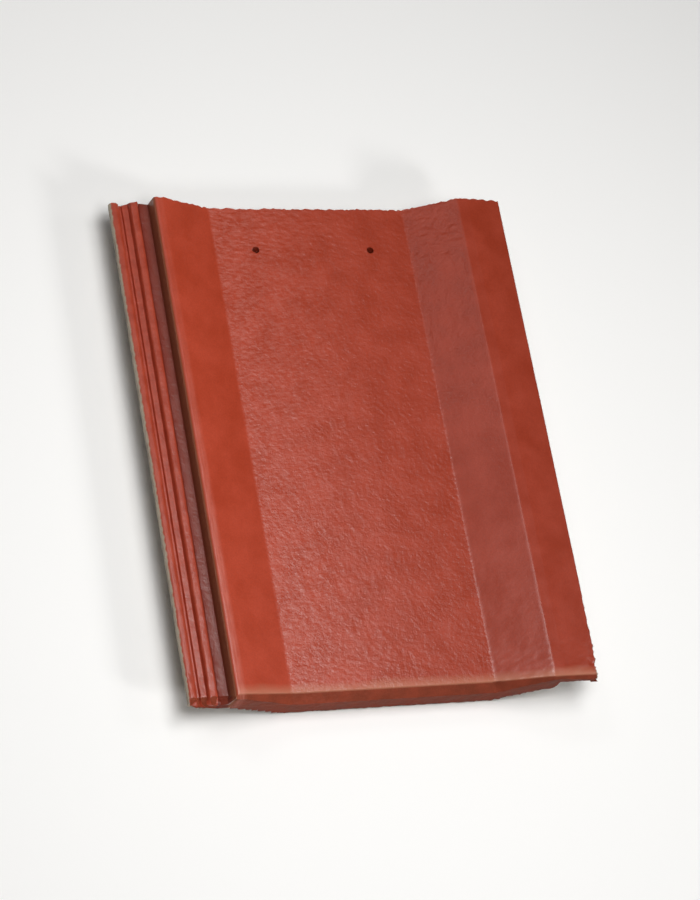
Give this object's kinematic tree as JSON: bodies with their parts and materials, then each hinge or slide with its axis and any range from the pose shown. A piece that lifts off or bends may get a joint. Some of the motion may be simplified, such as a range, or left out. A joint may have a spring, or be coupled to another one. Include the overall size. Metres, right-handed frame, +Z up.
{
  "type": "concrete interlocking roof tile",
  "caption": "Flat-bottomed trough-profile interlocking roof tile in red-coated concrete, with a ribbed side lock, a thick nose, hanging nibs and nail holes.",
  "frame": {"origin": "centre of the tile's box at the level of the floor that it lies on", "axes": "+Y from the tail (thick nose) to the head, along the tile; +X across it, from the ribbed side lock to the right edge; +Z up out of the coated face"},
  "size_m": [0.33, 0.413, 0.0454],
  "materials": {
    "coated_concrete": "satin"
  },
  "bodies": {
    "root": {"tile": "coated_concrete"}
  },
  "joints": []
}
